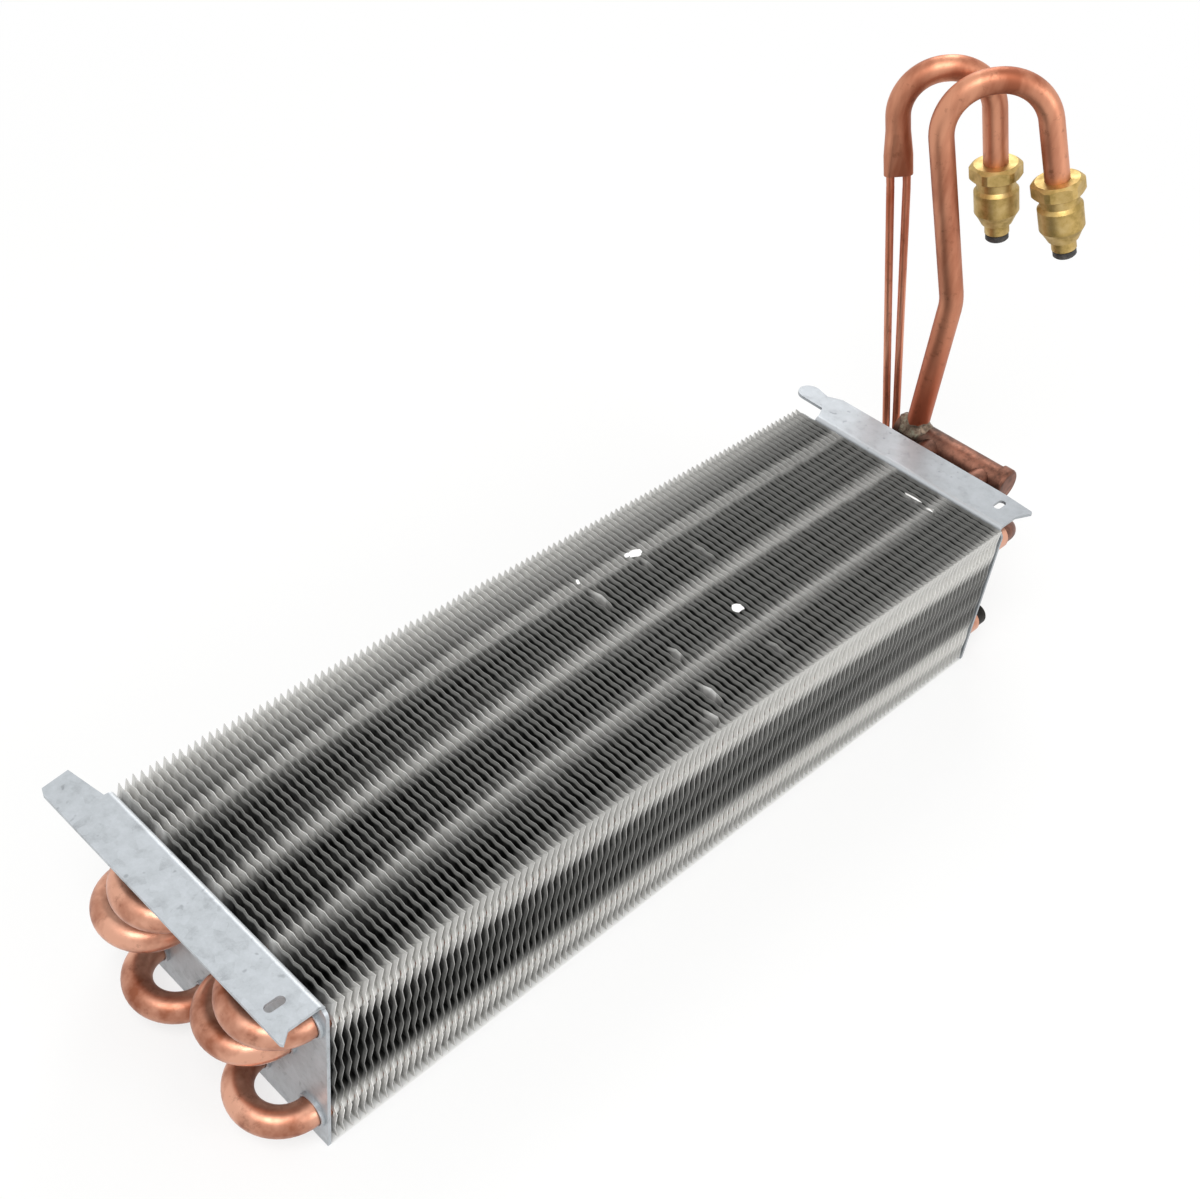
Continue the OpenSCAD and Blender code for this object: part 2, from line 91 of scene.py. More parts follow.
camera = {
    # fitted to the photo: the eye's place, and the three axes of its view
    "place": (-0.3141, -0.2493, 0.4302),
    "right": (0.6969, -0.7100, 0.1014),
    "down": (-0.4144, -0.5141, -0.7510),
    "forward": (0.5853, 0.4813, -0.6525),
    "lens": 48.19,
    "sensor": 36,
    "clip": (0.02, 20),
}


def makeCamera():
    data = bpy.data.cameras.new("photoCamera")
    data.lens = camera["lens"]
    data.sensor_width = camera["sensor"]
    data.clip_start, data.clip_end = camera["clip"]
    eye = newObject("photoCamera", data)
    axes = (Vector(camera["right"]), -Vector(camera["down"]), -Vector(camera["forward"]))
    turn = Matrix(axes).transposed().to_4x4()
    eye.matrix_world = Matrix.Translation(camera["place"]) @ turn
    bpy.context.scene.camera = eye


studio = {
    "worldLight": 0.55,
    "white": (1, 1, 1, 1),
    "floorColour": "#f4f4f2",
    "floorReach": 6.0,
    "floorGlow": 0.72,          # share of plain white that the eye sees in the floor at the coil
    "clearArea": (0.3, 0.75),   # between these distances the share rises to 1
    "unlit": (0.162, 0.051),    # half the length and width, right under the fins, without any glow
    # place, width and power of each softbox; all face the middle of the coil
    "softboxes": {
        "keyBox": ((-0.75, -0.35, 1.35), 0.9, 13),
        "fillBox": ((0.35, -1.45, 0.75), 0.9, 7),
        "rimBox": ((0.95, 0.75, 1.05), 0.7, 6),
    },
    "aim": (0.0, 0.0, 0.06),
}


def emptyTree(owner):
    owner.use_nodes = True
    owner.node_tree.nodes.clear()
    return owner.node_tree


def seenRays(tree):
    # 1 for what the eye sees, straight, through glass or mirrored, and 0 for all other light
    rays = addNode(tree, "ShaderNodeLightPath").outputs
    straight = calc(tree, "MAXIMUM", rays["Is Camera Ray"], rays["Is Transmission Ray"])
    return calc(tree, "MAXIMUM", straight, rays["Is Glossy Ray"])


def makeRoom():
    scene = bpy.context.scene
    scene.view_settings.view_transform = "Standard"
    scene.world = bpy.data.worlds.new("paleRoom")
    tree = emptyTree(scene.world)
    strength = remap(tree, seenRays(tree), 0.0, 1.0, studio["worldLight"], 1.0)
    air = addNode(tree, "ShaderNodeBackground", {"Color": studio["white"], "Strength": strength})
    addNode(tree, "ShaderNodeOutputWorld", {"Surface": air.outputs[0]})


def whitePaper():
    # white paper sweep: the eye sees it nearly white, and it keeps the coil's shadow
    paper = bpy.data.materials.new("whitePaperSweep")
    tree = emptyTree(paper)
    place = addNode(tree, "ShaderNodeTexCoord").outputs["Object"]
    far = addNode(tree, "ShaderNodeVectorMath", {0: place}, operation="LENGTH").outputs["Value"]
    glow = remap(tree, far, *studio["clearArea"], studio["floorGlow"], 1.0)
    beside = [calc(tree, "GREATER_THAN", calc(tree, "ABSOLUTE", along), reach)
              for along, reach in zip(axesOf(tree, place), studio["unlit"])]
    lit = calc(tree, "MULTIPLY", calc(tree, "MULTIPLY", seenRays(tree), glow),
               calc(tree, "MAXIMUM", *beside))
    matt = addNode(tree, "ShaderNodeBsdfDiffuse", {"Color": hexColour(studio["floorColour"])})
    white = addNode(tree, "ShaderNodeEmission", {"Color": studio["white"], "Strength": 1.0})
    mixed = addNode(tree, "ShaderNodeMixShader", {0: lit, 1: matt.outputs[0], 2: white.outputs[0]})
    addNode(tree, "ShaderNodeOutputMaterial", {"Surface": mixed.outputs[0]})
    return paper


def makeFloor():
    mesh = bpy.data.meshes.new("floor")
    reach = studio["floorReach"]
    corners = [(-reach, -reach, 0), (reach, -reach, 0), (reach, reach, 0), (-reach, reach, 0)]
    mesh.from_pydata(corners, [], [(0, 1, 2, 3)])
    floor = newObject("floor", mesh, whitePaper())


def makeLights():
    for name, (place, width, power) in studio["softboxes"].items():
        data = bpy.data.lights.new(name, "AREA")
        data.shape = "DISK"
        data.size = width
        data.energy = power
        lamp = newObject(name, data)
        aim = Vector(studio["aim"]) - Vector(place)
        turn = aim.to_track_quat("-Z", "Y").to_matrix().to_4x4()
        lamp.matrix_world = Matrix.Translation(place) @ turn


makeCamera()
makeRoom()
makeFloor()
makeLights()
print("camera and studio made")


def startMaterial(name, shaderValues):
    material = bpy.data.materials.new(name)
    material.use_nodes = True
    tree = material.node_tree
    shader = tree.nodes["Principled BSDF"]
    for key, value in shaderValues.items():
        shader.inputs[key].default_value = value
    place = addNode(tree, "ShaderNodeTexCoord").outputs["Object"]
    return material, tree, shader, place


def noise(tree, place, scale, detail, roughness=0.5):
    inputs = {"Vector": place, "Scale": scale, "Detail": detail, "Roughness": roughness}
    return addNode(tree, "ShaderNodeTexNoise", inputs).outputs["Fac"]


def stretched(tree, place, scale):
    return addNode(tree, "ShaderNodeMapping", {"Vector": place, "Scale": scale}).outputs[0]


def ramp(tree, share, stops):
    # stops are (place from 0 to 1, hex colour or brightness), in order
    node = addNode(tree, "ShaderNodeValToRGB", {0: share})
    elements = node.color_ramp.elements
    while len(elements) < len(stops):
        elements.new(0.5)
    for element, (at, tone) in zip(elements, stops):
        element.position = at
        element.color = hexColour(tone) if isinstance(tone, str) else (tone, tone, tone, 1)
    return node.outputs[0]


def blend(tree, share, first, second):
    # each colour is a hex code or a socket
    first, second = (hexColour(c) if isinstance(c, str) else c for c in (first, second))
    mixed = addNode(tree, "ShaderNodeMix", {0: share, 6: first, 7: second}, data_type="RGBA")
    return mixed.outputs[2]


def setBump(tree, shader, height, strength, depth=0.2 * mm):
    inputs = {"Height": height, "Strength": strength, "Distance": depth}
    bump = addNode(tree, "ShaderNodeBump", inputs)
    tree.links.new(bump.outputs[0], shader.inputs["Normal"])


coil = {
    "finLow": 1 * mm, "finHigh": 67 * mm, "halfWidth": 50.8 * mm, "halfLength": 160 * mm,
    "tubeR": 4.76 * mm, "tubePitch": 25.4 * mm, "rowPitch": 22 * mm, "tubesPerRow": 4,
    "rowShifts": (0.75, 0.25, 0.75),    # each row's first tube, in pitches from the far edge
}
foilLook = {
    "shader": {"Roughness": 0.42, "Metallic": 0.3, "Specular IOR Level": 0.2},
    "paintedRim": (0.9 * mm, 1.6 * mm),            # a fin's painted highlight rim fades out between these depths, into painted shade
    "wander": 1.5 * mm,                     # most that a lane's borders move from fin to fin
    "wanderScale": 330.0,
    # change of the painted light at the rear end: on the top, painted shade from its middle to its
    # far edge, which starts between these places across, and a brighter painted light on the sides
    "rearShadeTop": (-0.24, -0.44), "rearShadeFrom": (24 * mm, 34 * mm), "rearLightSide": 0.16,
    "grimeStretch": (9, 160, 160),          # streaks along the coil, 3 to 15 mm wide
    "grimeRange": (0.3, 0.7), "grime": (-0.07, 0.07),
    "folded": (0.6, 0.95),                  # how far bent foil has to be to get the painted white highlight
    # painted colours: shade down in the gaps (front, rear end, lit lane, the last a painted
    # light), then the painted highlight of the rim in dim and in bright lanes (top, side, upward
    # cut edge), and the painted white highlight of folded foil
    "gapLightAndShade": ("#060606", "#232423", "#cfcecb"),
    "dimRim": ("#959592", "#7b7b79", "#5f5f5d"), "brightRim": ("#e8e7e4", "#f5f4f1", "#b5b4b1"),
    "foldedColour": "#f8f8f6",
    # painted light and shade over the top rows of collars and between them: y in mm, from the far
    # edge
    "topPaintedLanes": [
        (50.8, 0.72), (48.0, 0.88), (45.6, 1.0), (42.8, 0.62), (40.3, 0.68), (37.8, 0.52),
        (35.3, 0.4), (32.5, 0.45), (30.9, 0.94), (27.5, 0.92), (25.7, 0.32), (22.8, 0.15),
        (20, 0.02), (10.3, 0.12), (6.4, 0.24), (4.0, 0.86), (0.3, 0.94), (-1.8, 0.3),
        (-4.7, 0.1), (-7, 0), (-16, 0.06), (-20.2, 0.26), (-22.4, 0.62), (-24.2, 0.96),
        (-27, 0.56), (-29.7, 0.2), (-34.5, 0.02), (-42.2, 0.04), (-44.7, 0.2), (-47.2, 0.36),
        (-50.8, 0.72),
    ],
    # the same painted light down both sides: height in mm above the floor
    "sidePaintedLanes": [
        (67, 0.7), (60, 0.9), (56, 1.0), (53, 0.8), (51, 0.45), (49, 0.2), (46, 0.2),
        (43.5, 0.08), (37.5, 0.0), (31.5, 0.12), (28.5, 0.02), (23.5, 0.02), (21, 0.12),
        (19, 0.55), (17, 0.86), (13.5, 1.0), (12, 1.0), (9.5, 0.95), (8, 0.62), (4, 0.62),
        (1, 0.75),
    ],
}


def laneRamp(tree, place, first, last, lanes):
    # lanes are (place in mm, painted brightness), from first to last
    share = remap(tree, place, first, last)
    span = (last - first) / mm
    return ramp(tree, share, [((at - first / mm) / span, tone) for at, tone in lanes])


def pressedAluminiumFoil():
    # Mill-finish aluminium foil, pressed into waves, with its light and shade painted in: a
    # painted highlight on its cut edges and on the lanes over the collars, painted shade near
    # black where one looks down between the fins
    material, tree, shader, place = startMaterial("pressedAluminiumFoil", foilLook["shader"])
    work, mixed = partial(calc, tree), partial(blend, tree)
    x, y, z = axesOf(tree, place)
    low, high, half = coil["finLow"], coil["finHigh"], coil["halfWidth"]

    # depth below the nearest free edge: a painted highlight rim above painted shade deeper in the
    # gaps
    under = work("SUBTRACT", high, z)
    inside = work("SUBTRACT", half, work("ABSOLUTE", y))
    depth = work("MINIMUM", work("MINIMUM", under, inside), work("SUBTRACT", z, low))
    paintedRim = remap(tree, depth, *foilLook["paintedRim"], 1.0, 0.0, interpolation_type="SMOOTHSTEP")

    border = noise(tree, place, foilLook["wanderScale"], detail=1.0)
    y = work("MULTIPLY_ADD", border, 2 * foilLook["wander"], y)
    y = work("SUBTRACT", y, foilLook["wander"])
    # painted light: bright lanes over the collar rows and dark ones between them, on the top and
    # down the sides
    topLane = laneRamp(tree, y, half, -half, foilLook["topPaintedLanes"])
    sideLane = laneRamp(tree, z, high, low, foilLook["sidePaintedLanes"])
    onSide = work("LESS_THAN", inside, under)
    lane = mixed(onSide, topLane, sideLane)

    # painted shade: towards the rear the top is painted darker, most of all along its far edge,
    # and the sides lighter
    back = remap(tree, x, -coil["halfLength"], coil["halfLength"])
    rearDarkening = remap(tree, y, *foilLook["rearShadeFrom"], *foilLook["rearShadeTop"])
    change = addNode(tree, "ShaderNodeMix", {0: onSide, 2: rearDarkening, 3: foilLook["rearLightSide"]},
                     data_type="FLOAT").outputs[0]
    lane = work("MULTIPLY_ADD", change, work("POWER", back, 2.0), lane, clamp=True)

    # painted highlight: bent fin tops are lifted to a bright lane
    bent = addNode(tree, "ShaderNodeAttribute", attribute_name="bent").outputs["Fac"]
    lane = work("MAXIMUM", lane, bent)
    along = stretched(tree, place, foilLook["grimeStretch"])
    streaks = noise(tree, along, scale=1.0, detail=4.0)
    tone = remap(tree, streaks, *foilLook["grimeRange"], *foilLook["grime"])
    lane = work("ADD", lane, tone, clamp=True)

    # edges that face up are painted darker than the flanks, a painted shade
    normal = addNode(tree, "ShaderNodeNewGeometry").outputs["Normal"]
    cut = work("ABSOLUTE", axesOf(tree, normal)[2])

    def rimColour(top, side, upward):
        return mixed(cut, mixed(onSide, top, side), upward)

    # painted shade down in the gaps, lighter at the rear end, and painted light in bright lanes;
    # the rim is a painted highlight
    front, rear, lit = foilLook["gapLightAndShade"]
    gapLightAndShade = mixed(lane, mixed(back, front, rear), lit)
    edge = mixed(lane, rimColour(*foilLook["dimRim"]), rimColour(*foilLook["brightRim"]))
    # bent foil is painted nearly white, a painted highlight
    folded = remap(tree, bent, *foilLook["folded"])
    colour = mixed(folded, mixed(paintedRim, gapLightAndShade, edge), foilLook["foldedColour"])
    tree.links.new(colour, shader.inputs["Base Color"])
    return material


steelLook = {
    "shader": {"Metallic": 0.45},
    "spangle": 330.0, "spangleShare": 0.14,         # spots of 2 to 5 mm
    "cloud": {"scale": 150.0, "detail": 10.0, "roughness": 0.78},
    "zinc": [(0.34, "#979b9f"), (0.52, "#adb2b6"), (0.78, "#bbc0c5")],
    # each colour that lies over the zinc (the first a painted highlight along the folds), where it
    # starts and is full, and how much it covers
    "foldHighlight": ("#e4e7e9", 0.1, 0.4, 0.55),
    "rearDarkening": ("#8b8f93", -0.1, 0.15, 0.45),
    "marked": ("#5d6164", 0.7, 0.78, 0.4),
    "marks": {"scale": 380.0, "detail": 1.0},
    "roughness": (0.5, 0.36),
    "grain": {"scale": 900.0, "detail": 3.0}, "bump": 0.12,
}


def galvanisedSteel():
    # Galvanised sheet with a minimised spangle: a cool pale grey, mottled every 2 to 5 mm
    material, tree, shader, place = startMaterial("galvanisedSteel", steelLook["shader"])
    cells = addNode(tree, "ShaderNodeTexVoronoi", {"Vector": place, "Scale": steelLook["spangle"]})
    tone = addNode(tree, "ShaderNodeSeparateColor", {0: cells.outputs["Color"]}).outputs[0]
    cloud = noise(tree, place, **steelLook["cloud"])
    both = calc(tree, "MULTIPLY_ADD", tone, steelLook["spangleShare"], cloud)
    zinc = ramp(tree, both, steelLook["zinc"])

    def cover(below, share, look):
        colour, start, full, most = steelLook[look]
        return blend(tree, remap(tree, share, start, full, 0.0, most), below, colour)

    # painted highlight: the zinc is painted bright along the folds, where the surface turns from
    # flange to web
    turn = axesOf(tree, addNode(tree, "ShaderNodeNewGeometry").outputs["Normal"])
    zinc = cover(zinc, calc(tree, "ABSOLUTE", calc(tree, "MULTIPLY", turn[0], turn[2])), "foldHighlight")
    # the colour darkens a little towards the rear plate
    zinc = cover(zinc, axesOf(tree, place)[0], "rearDarkening")
    zinc = cover(zinc, noise(tree, place, **steelLook["marks"]), "marked")
    tree.links.new(zinc, shader.inputs["Base Color"])

    rough = remap(tree, both, 0.0, 1.0, *steelLook["roughness"])
    tree.links.new(rough, shader.inputs["Roughness"])
    setBump(tree, shader, noise(tree, place, **steelLook["grain"]), steelLook["bump"])
    return material


upright = (1.0, 1.0, 0.22)              # lets patches run along a tube that stands
torchSpot = (0.2014, 0.0172, 0.062)     # foot of the suction tube
# darkShare is how much of the tube the dark specks cover, and burnt is the colour,
# middle and reach of the heat tint that the torch left
copperLooks = {
    # the two goosenecks, rubbed clean, with a warm tint where they were brazed
    "drawnCopper": {
        "clean": "#d39577", "worn": "#985a42", "dark": "#55301f", "darkShare": 0.2,
        "roughness": 0.42, "stretch": upright, "burnt": ("#a8573c", torchSpot, 0.055)},
    # the hairpins, polished by the bending tool
    "bentCopper": {
        "clean": "#dba58c", "worn": "#925942", "dark": "#5a3426", "darkShare": 0.2,
        "roughness": 0.33},
    # header, return bends and stubs, browned by the torch
    "torchHeatedCopper": {
        "clean": "#9a6b59", "worn": "#67463a", "dark": "#2b2522", "darkShare": 0.8,
        "roughness": 0.42, "burnt": ("#4a3f38", torchSpot, 0.02)},
    # the pinched inlet stub, coloured nearly black
    "nearBlackCopper": {
        "clean": "#3d3a37", "worn": "#292625", "dark": "#151413", "darkShare": 0.9,
        "roughness": 0.5},
    # the two capillaries
    "capillaryCopper": {
        "clean": "#dc9c80", "worn": "#ad6145", "dark": "#55291d", "darkShare": 0.2,
        "roughness": 0.34, "stretch": upright},
}
# what all five share
copperGrain = {
    "patches": {"scale": 75.0, "detail": 4.0, "roughness": 0.55},
    "specks": {"scale": 260.0, "detail": 4.0, "roughness": 0.7},
    "wornAt": 0.33, "cleanAt": 0.6,
    "heatFade": (-0.2, 0.6), "heatMost": 0.75,      # the fade in shares of the tint's reach
    # where specks start and how much they cover: for darkShare 0, and the change up to 1
    "speckStart": (0.62, -0.22), "speckFull": 0.74, "speckCover": (0.35, 0.5),
    "roughFade": (0.35, 0.65), "wornRougher": 0.12,
    "bump": 0.15,
}


def copperFinish(name, clean, worn, dark, darkShare, roughness, stretch=(1, 1, 1), burnt=None):
    # Drawn copper tube: a warm metal, clean and pinkish where it was rubbed, browner where
    # its oxide has grown, in patches of 8 to 20 mm
    material, tree, shader, place = startMaterial(name, {"Metallic": 1.0})
    grain = copperGrain
    patches = noise(tree, stretched(tree, place, stretch), **grain["patches"])
    colour = ramp(tree, patches, [(grain["wornAt"], worn), (grain["cleanAt"], clean)])
    if burnt is not None:
        tint, middle, reach = burnt
        far = addNode(tree, "ShaderNodeVectorMath", {0: place, 1: middle}, operation="DISTANCE")
        ragged = calc(tree, "MULTIPLY_ADD", patches, -reach, far.outputs["Value"])
        start, end = (share * reach for share in grain["heatFade"])
        colour = blend(tree, remap(tree, ragged, start, end, grain["heatMost"], 0.0), colour, tint)
    specks = noise(tree, place, **grain["specks"])
    start, cover = (least + darkShare * more
                    for least, more in (grain["speckStart"], grain["speckCover"]))
    speck = remap(tree, specks, start, grain["speckFull"], 0.0, cover)
    tree.links.new(blend(tree, speck, colour, dark), shader.inputs["Base Color"])
    rough = remap(tree, patches, *grain["roughFade"], roughness + grain["wornRougher"], roughness)
    tree.links.new(rough, shader.inputs["Roughness"])
    setBump(tree, shader, specks, grain["bump"])
    return material


# one cloud of noise tints each of these; roughness is the cloud's range and the roughness at
# its two ends, and bump is the relief's strength and depth
cloudedLooks = {
    # turned brass: yellow with an olive cast, clouded and dulled by handling
    "turnedBrass": {
        "shader": {"Metallic": 1.0},
        "cloud": {"scale": 180.0, "detail": 5.0, "roughness": 0.65},
        "tones": [(0.35, "#a08850"), (0.5, "#bb9f64"), (0.68, "#c9af78")],
        "roughness": (0.3, 0.7, 0.55, 0.42), "bump": (0.2, 0.2 * mm)},
    # silver brazing alloy as it froze: dull grey-green with flux stains
    "silverSolder": {
        "shader": {"Metallic": 0.7, "Roughness": 0.5},
        "cloud": {"scale": 300.0, "detail": 6.0, "roughness": 0.7},
        "tones": [(0.36, "#3c362f"), (0.5, "#7c6a5a"), (0.62, "#8d8a78"), (0.75, "#aaa796")],
        "bump": (0.5, 0.4 * mm)},
    # soft transport plug, nearly black and dusty
    "darkTransportPlug": {
        "shader": {"Roughness": 0.62},
        "cloud": {"scale": 400.0, "detail": 4.0},
        "tones": [(0.4, "#2a2827"), (0.65, "#4a4643")]},
}


def cloudedFinish(name):
    look = cloudedLooks[name]
    material, tree, shader, place = startMaterial(name, look["shader"])
    cloud = noise(tree, place, **look["cloud"])
    tree.links.new(ramp(tree, cloud, look["tones"]), shader.inputs["Base Color"])
    if "roughness" in look:
        tree.links.new(remap(tree, cloud, *look["roughness"]), shader.inputs["Roughness"])
    if "bump" in look:
        setBump(tree, shader, cloud, *look["bump"])
    return material


foil = pressedAluminiumFoil()
steel = galvanisedSteel()
copper = {name: copperFinish(name, **look) for name, look in copperLooks.items()}
brass = cloudedFinish("turnedBrass")
solder = cloudedFinish("silverSolder")
plug = cloudedFinish("darkTransportPlug")

# the first start that fits a node's name counts
finishOf = {
    "end_plate_": steel,
    "hairpin_": copper["bentCopper"],
    "return_bend_": copper["torchHeatedCopper"], "outlet_stub_": copper["torchHeatedCopper"],
    "suction_header": copper["torchHeatedCopper"], "header_cap_": copper["torchHeatedCopper"],
    "suction_solder": solder,
    "suction_tube": copper["drawnCopper"], "distributor_tube": copper["drawnCopper"],
    "capillary_": copper["capillaryCopper"],
    # the near inlet stub is coloured nearly black
    "inlet_stub_near": copper["nearBlackCopper"], "inlet_stub_far": copper["torchHeatedCopper"],
    "suction_fitting_plug": plug, "distributor_fitting_plug": plug,
    "suction_fitting": brass, "distributor_fitting": brass,
}
for name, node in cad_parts.items():
    finish = next((f for start, f in finishOf.items() if name.startswith(start)), None)
    if finish is not None:
        node.data.materials.clear()
        node.data.materials.append(finish)
print("CAD nodes dressed")

fins = {
    "count": 120, "low": coil["finLow"],
    "width": 2 * coil["halfWidth"], "height": coil["finHigh"] - coil["finLow"],
    "widthSteps": 40, "heightSteps": 12, "gauge": 0.25 * mm,
    "wave": 1.0 * mm,           # pressed ridges that run across the coil, seen on its near side
    "ripple": 0.22 * mm,        # crimp of the free edges, half its height
    "rippleFade": (14 * mm, 2 * mm),    # distances from the edge where it starts and is full
    "lean": 0.17 * mm,          # how far a fin's top leans from where it should be
    "ragged": 0.6 * mm,         # how far the far corners stick out, at the front half
    "raggedAlong": (-20 * mm, 40 * mm), "raggedRear": 0.25, "raggedUp": (50 * mm, 66 * mm),
    "edgeMargin": 0.1 * mm,     # the far edge is what lies within this of it
    "seed": 7,
    # places where handling has bent the fins' tops over: x, y, half length, half width in mm,
    # strength
    "dents": [
        (12.4, 19.6, 1.5, 5.5, 0.78), (12, -17, 1.5, 3, 0.75), (6.2, -36.5, 1.5, 5.5, 0.85),
        (-1.8, -44.5, 2.6, 3.8, 0.75), (42.7, -36.4, 1.5, 6.2, 0.85), (39.8, 22.8, 1.4, 3.5, 0.8),
        (149.7, -16, 1.5, 4.8, 0.9), (148.3, -25, 1.5, 1.8, 0.75), (60, 14, 1.5, 6, 0.5),
        (-60, -30, 1.5, 5, 0.4),
    ],
    "dentCore": 1.3,            # above 1, the middle of a dent is bent all alike
    "dentDepth": 3 * mm, "dentPush": 2.6 * mm, "dentSink": 0.9 * mm,
}
fins["start"] = -coil["halfLength"] + (fins["wave"] + fins["gauge"]) / 2
fins["pitch"] = -2 * fins["start"] / (fins["count"] - 1)


def newTree(name, sockets):
    # sockets are the inputs' names and kinds
    tree = bpy.data.node_groups.new(name, "GeometryNodeTree")
    for label, kind in sockets.items():
        tree.interface.new_socket(label, in_out="INPUT", socket_type="NodeSocket" + kind)
    tree.interface.new_socket("Geometry", in_out="OUTPUT", socket_type="NodeSocketGeometry")
    return tree, addNode(tree, "NodeGroupInput").outputs


def closeTree(tree, geometry):
    # every tree ends in plain geometry with the foil's material
    whole = addNode(tree, "GeometryNodeRealizeInstances", {"Geometry": geometry}).outputs[0]
    coloured = addNode(tree, "GeometryNodeSetMaterial", {"Geometry": whole, "Material": foil})
    addNode(tree, "NodeGroupOutput", {"Geometry": coloured.outputs[0]})
    return tree


def lineOf(tree, count, step, start=(0, 0, 0)):
    inputs = {"Count": count, "Start Location": start, "Offset": step}
    return addNode(tree, "GeometryNodeMeshLine", inputs).outputs[0]


def instancesOf(tree, points, instance):
    inputs = {"Points": points, "Instance": instance}
    return addNode(tree, "GeometryNodeInstanceOnPoints", inputs).outputs[0]


def finTree():
    tree, given = newTree("rowOfFins", {
        "Count": "Int", "Seed": "Int", "Start": "Float", "Pitch": "Float", "Width": "Float",
        "Height": "Float", "Low": "Float", "Wave": "Float", "Ripple": "Float", "Lean": "Float",
        "Ragged": "Float"})
    work = partial(calc, tree)

    # a flat fin, stood upright, then one at every place along the coil
    sheet = addNode(tree, "GeometryNodeMeshGrid", {
        "Size X": given["Height"], "Size Y": given["Width"],
        "Vertices X": fins["heightSteps"] + 1, "Vertices Y": fins["widthSteps"] + 1})
    middle = work("MULTIPLY_ADD", given["Height"], 0.5, given["Low"])
    standing = addNode(tree, "GeometryNodeTransform", {
        "Geometry": sheet.outputs["Mesh"], "Translation": vectorOf(tree, Z=middle),
        "Rotation": (0, -math.pi / 2, 0)}).outputs[0]
    places = lineOf(tree, given["Count"], vectorOf(tree, X=given["Pitch"]),
                    vectorOf(tree, X=given["Start"]))
    row = instancesOf(tree, places, standing)
    row = addNode(tree, "GeometryNodeRealizeInstances", {"Geometry": row}).outputs[0]

    x, y, z = axesOf(tree, addNode(tree, "GeometryNodeInputPosition").outputs[0])
    rise = work("SUBTRACT", z, given["Low"])
    number = work("ROUND", work("DIVIDE", work("SUBTRACT", x, given["Start"]), given["Pitch"]))
    chance, chanceToo = (
        addNode(tree, "FunctionNodeRandomValue", {"ID": number, "Seed": seed},
                data_type="FLOAT").outputs[1]
        for seed in (given["Seed"], work("ADD", given["Seed"], 1.0)))

    # ridges: crest, hollow, crest at every step up the fin
    waves = work("COSINE", work("MULTIPLY", rise, math.pi * fins["heightSteps"] / fins["height"]))
    sway = work("MULTIPLY", waves, work("MULTIPLY", given["Wave"], 0.5))
    # crimped edges: side to side at every step across, near the upper and lower edge alone
    turns = work("MULTIPLY", y, math.pi * fins["widthSteps"] / fins["width"])
    fromMiddle = work("ABSOLUTE", work("SUBTRACT", z, middle))
    fadeStart, fadeEnd = (fins["height"] / 2 - edge for edge in fins["rippleFade"])
    nearEdge = remap(tree, fromMiddle, fadeStart, fadeEnd)
    crimp = work("MULTIPLY", work("MULTIPLY", work("COSINE", turns), given["Ripple"]), nearEdge)
    tilt = work("MULTIPLY", work("MULTIPLY_ADD", chance, 2.0, -1.0),
                work("MULTIPLY", work("DIVIDE", rise, given["Height"]), given["Lean"]))
    across = work("ADD", work("ADD", sway, crimp), tilt)

    # tops bent over by handling
    bent = None
    for cx, cy, rx, ry, strength in fins["dents"]:
        dx = work("DIVIDE", work("SUBTRACT", x, cx * mm), rx * mm)
        dy = work("DIVIDE", work("SUBTRACT", y, cy * mm), ry * mm)
        away = work("MULTIPLY_ADD", dx, dx, work("MULTIPLY", dy, dy))
        near = work("MULTIPLY", work("SUBTRACT", fins["dentCore"], away, clamp=True), strength)
        bent = near if bent is None else work("MAXIMUM", bent, near)
    top = work("GREATER_THAN", rise, fins["height"] - fins["dentDepth"])
    bent = work("MULTIPLY", bent, top)
    fold = work("MULTIPLY", bent, bent)
    across = work("MULTIPLY_ADD", fold, fins["dentPush"], across)
    sink = work("MULTIPLY", fold, -fins["dentSink"])

    # far corners that stick out, mostly at the front half
    farEdge = work("GREATER_THAN", y, fins["width"] / 2 - fins["edgeMargin"])
    frontHalf = remap(tree, x, *fins["raggedAlong"], 1.0, fins["raggedRear"])
    high = remap(tree, rise, *fins["raggedUp"])
    reach = work("MULTIPLY", high, work("MULTIPLY", chanceToo, given["Ragged"]))
    out = work("MULTIPLY", work("MULTIPLY", farEdge, frontHalf), reach)

    marked = addNode(tree, "GeometryNodeStoreNamedAttribute",
                     {"Geometry": row, "Name": "bent", "Value": bent},
                     data_type="FLOAT", domain="POINT").outputs[0]
    offset = vectorOf(tree, X=across, Y=out, Z=sink)
    shaped = addNode(tree, "GeometryNodeSetPosition", {"Geometry": marked, "Offset": offset})
    return closeTree(tree, shaped.outputs[0])


def growPiece(name, tree, inputs, baseMesh=None, thickness=0.0):
    # runs a tree on a fresh object and keeps the result as a plain mesh
    seedObject = newObject(name + "Seed", baseMesh or bpy.data.meshes.new(name + "Seed"))
    modifier = seedObject.modifiers.new(name, "NODES")
    modifier.node_group = tree
    for socket in tree.interface.items_tree:
        if socket.in_out == "INPUT" and socket.name in inputs:
            modifier[socket.identifier] = inputs[socket.name]
    if thickness:
        wall = seedObject.modifiers.new("wall", "SOLIDIFY")
        wall.thickness = thickness
        wall.offset = 0
    evaluated = seedObject.evaluated_get(bpy.context.evaluated_depsgraph_get())
    mesh = bpy.data.meshes.new_from_object(evaluated)
    mesh.name = name
    bpy.data.objects.remove(seedObject)
    return newObject(name, mesh)


